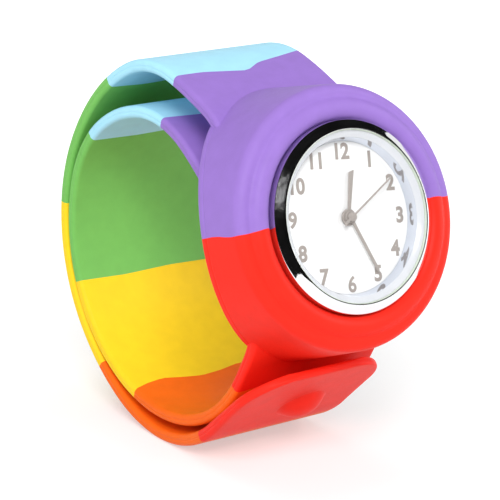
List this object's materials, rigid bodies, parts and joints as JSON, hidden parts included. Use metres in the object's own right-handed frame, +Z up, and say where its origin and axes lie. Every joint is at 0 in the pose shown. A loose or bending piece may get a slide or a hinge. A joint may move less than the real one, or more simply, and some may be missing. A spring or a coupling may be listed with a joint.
{
  "type": "slap watch",
  "caption": "Child's quartz slap watch: round silicone housing on a rainbow strap that coils round the wrist by a spring band, with a press-in module, dial, hands and pull-out crown.",
  "frame": {"origin": "bottom centre of the bounding box of the coiled watch as it stands", "axes": "+X along the strap's width towards 3 o'clock, +Z up, and the dial faces -Y leaning back 16 degrees"},
  "size_m": [0.041, 0.0676, 0.0619],
  "materials": {
    "silicone_purple": "satin",
    "silicone_red": "satin",
    "silicone_orange": "satin",
    "silicone_yellow": "satin",
    "silicone_green": "satin",
    "silicone_blue": "satin",
    "spring_steel": "rolled",
    "bezel_chrome": "polished",
    "case_steel": "brushed",
    "crystal_glass": "polished",
    "gasket_nylon": "matte",
    "dial_white": "matte",
    "holder_plastic": "matte",
    "bridge_brass": "satin",
    "wheel_brass": "satin",
    "small_steel": "satin",
    "magnet_dark": "satin",
    "coil_copper": "satin",
    "board_green": "gloss",
    "seal_black": "matte",
    "hand_grey": "satin"
  },
  "bodies": {
    "head": {"housing_upper": "silicone_purple", "housing_lower": "silicone_red", "root_upper": "silicone_purple", "root_lower": "silicone_red", "band_head": "spring_steel"},
    "outer_1": {"strap_outer_purple": "silicone_purple", "strap_outer_blue": "silicone_blue", "band_outer_1": "spring_steel"},
    "outer_2": {"strap_outer_green": "silicone_green", "band_outer_2": "spring_steel"},
    "outer_3": {"strap_outer_yellow": "silicone_yellow", "band_outer_3": "spring_steel"},
    "outer_4": {"strap_outer_orange": "silicone_orange", "band_outer_4": "spring_steel"},
    "outer_5": {"strap_outer_red": "silicone_red", "band_outer_5": "spring_steel"},
    "inner_1": {"strap_inner_orange": "silicone_orange", "band_inner_1": "spring_steel"},
    "inner_2": {"strap_inner_yellow": "silicone_yellow", "band_inner_2": "spring_steel"},
    "inner_3": {"strap_inner_green": "silicone_green", "band_inner_3": "spring_steel"},
    "inner_4": {"strap_inner_blue": "silicone_blue", "band_inner_4": "spring_steel"},
    "inner_5": {"strap_inner_purple": "silicone_purple", "band_inner_5": "spring_steel", "strap_inner_tip": "silicone_purple", "band_inner_tip": "spring_steel"},
    "module": {"module_case": "case_steel", "bezel": "bezel_chrome", "crystal": "crystal_glass", "crystal_gasket": "gasket_nylon", "rehaut": "bezel_chrome", "dial": "dial_white", "movement_holder": "holder_plastic", "main_plate": "holder_plastic", "train_bridge": "bridge_brass", "bridge_screws": "small_steel", "battery": "small_steel", "battery_clip": "small_steel", "coil": "coil_copper", "stator": "magnet_dark", "circuit_board": "board_green", "quartz_can": "small_steel", "case_back": "case_steel", "case_back_gasket": "seal_black"},
    "seconds": {"second_wheel": "wheel_brass", "second_hand": "hand_grey"},
    "third": {"third_wheel": "wheel_brass"},
    "minutes": {"centre_wheel": "wheel_brass", "minute_hand": "hand_grey"},
    "minute_wheel": {"minute_wheel": "wheel_brass"},
    "hours": {"hour_wheel": "wheel_brass", "hour_hand": "hand_grey"},
    "intermediate": {"intermediate_wheel": "wheel_brass"},
    "rotor": {"rotor": "magnet_dark"},
    "stem_slide": {"crown_gasket": "seal_black", "stem_yoke": "small_steel"},
    "crown_stem": {"crown": "bezel_chrome", "stem": "small_steel"}
  },
  "joints": [
    {"name": "strap_uncoil", "type": "hinge", "parent": "head", "child": "outer_1", "pos_m": [0, -0.00575, 0.05889], "axis": [1, 0, 0], "range_deg": [0, 82], "stiffness_Nm_per_rad": 0.04, "springref_deg": -40.11},
    {"name": "outer_bend_2", "type": "hinge", "parent": "outer_1", "child": "outer_2", "pos_m": [0, 0.02084, 0.05567], "axis": [1, 0, 0], "range_deg": [0, 57.51]},
    {"name": "outer_bend_3", "type": "hinge", "parent": "outer_2", "child": "outer_3", "pos_m": [0, 0.03382, 0.02904], "axis": [1, 0, 0], "range_deg": [0, 57.51]},
    {"name": "outer_bend_4", "type": "hinge", "parent": "outer_3", "child": "outer_4", "pos_m": [0, 0.0158, 0.00272], "axis": [1, 0, 0], "range_deg": [0, 62.51]},
    {"name": "outer_bend_5", "type": "hinge", "parent": "outer_4", "child": "outer_5", "pos_m": [0, -0.01251, 0.00593], "axis": [1, 0, 0], "range_deg": [0, 32.51]},
    {"name": "inner_bend_1", "type": "hinge", "parent": "head", "child": "inner_1", "pos_m": [0, -0.01821, 0.01535], "axis": [1, 0, 0], "range_deg": [-87.01, 0]},
    {"name": "inner_bend_2", "type": "hinge", "parent": "inner_1", "child": "inner_2", "pos_m": [0, 0.01363, 0.0053], "axis": [1, 0, 0], "range_deg": [-66.51, 0]},
    {"name": "inner_bend_3", "type": "hinge", "parent": "inner_2", "child": "inner_3", "pos_m": [0, 0.03041, 0.02309], "axis": [1, 0, 0], "range_deg": [-63.01, 0]},
    {"name": "inner_bend_4", "type": "hinge", "parent": "inner_3", "child": "inner_4", "pos_m": [0, 0.02168, 0.04956], "axis": [1, 0, 0], "range_deg": [-70.01, 0]},
    {"name": "inner_bend_5", "type": "hinge", "parent": "inner_4", "child": "inner_5", "pos_m": [0, -0.0036, 0.05068], "axis": [1, 0, 0], "range_deg": [-54.51, 0]},
    {"name": "module_pop", "type": "slide", "parent": "head", "child": "module", "axis": [0, -0.9613, 0.2756], "range_m": [0, 0.008]},
    {"name": "second_hand_turn", "type": "hinge", "parent": "module", "child": "seconds", "pos_m": [0, -0.02636, 0.04147], "axis": [0, 0.9613, -0.2756], "continuous": true},
    {"name": "third_wheel_turn", "type": "hinge", "parent": "module", "child": "third", "pos_m": [-0.0033, -0.02658, 0.04068], "axis": [0, 0.9613, -0.2756], "continuous": true},
    {"name": "minute_hand_turn", "type": "hinge", "parent": "module", "child": "minutes", "pos_m": [0, -0.02636, 0.04147], "axis": [0, 0.9613, -0.2756], "continuous": true},
    {"name": "minute_wheel_turn", "type": "hinge", "parent": "module", "child": "minute_wheel", "pos_m": [0.00027, -0.02564, 0.04396], "axis": [0, 0.9613, -0.2756], "continuous": true},
    {"name": "hour_hand_turn", "type": "hinge", "parent": "module", "child": "hours", "pos_m": [0, -0.02636, 0.04147], "axis": [0, 0.9613, -0.2756], "continuous": true},
    {"name": "intermediate_turn", "type": "hinge", "parent": "module", "child": "intermediate", "pos_m": [0.00153, -0.02578, 0.04349], "axis": [0, 0.9613, -0.2756], "continuous": true},
    {"name": "rotor_turn", "type": "hinge", "parent": "module", "child": "rotor", "pos_m": [0.00282, -0.02529, 0.0452], "axis": [0, 0.9613, -0.2756], "continuous": true},
    {"name": "crown_pull", "type": "slide", "parent": "module", "child": "stem_slide", "axis": [0.9945, -0.0288, -0.1005], "range_m": [0, 0.0006]},
    {"name": "crown_turn", "type": "hinge", "parent": "stem_slide", "child": "crown_stem", "pos_m": [0.01293, -0.02553, 0.03982], "axis": [0.9945, -0.0288, -0.1005], "continuous": true}
  ],
  "couplings": [
    {"joint": "outer_bend_2", "follows": "strap_uncoil", "ratio": 0.70122},
    {"joint": "outer_bend_3", "follows": "strap_uncoil", "ratio": 0.70122},
    {"joint": "outer_bend_4", "follows": "strap_uncoil", "ratio": 0.76219},
    {"joint": "outer_bend_5", "follows": "strap_uncoil", "ratio": 0.39634},
    {"joint": "inner_bend_1", "follows": "strap_uncoil", "ratio": -1.061},
    {"joint": "inner_bend_2", "follows": "strap_uncoil", "ratio": -0.81098},
    {"joint": "inner_bend_3", "follows": "strap_uncoil", "ratio": -0.76829},
    {"joint": "inner_bend_4", "follows": "strap_uncoil", "ratio": -0.85366},
    {"joint": "inner_bend_5", "follows": "strap_uncoil", "ratio": -0.66463},
    {"joint": "third_wheel_turn", "follows": "second_hand_turn", "ratio": -0.13333},
    {"joint": "minute_hand_turn", "follows": "second_hand_turn", "ratio": 0.016667},
    {"joint": "minute_wheel_turn", "follows": "second_hand_turn", "ratio": -0.0055556},
    {"joint": "hour_hand_turn", "follows": "second_hand_turn", "ratio": 0.0013889},
    {"joint": "intermediate_turn", "follows": "second_hand_turn", "ratio": -5},
    {"joint": "rotor_turn", "follows": "second_hand_turn", "ratio": 30}
  ]
}
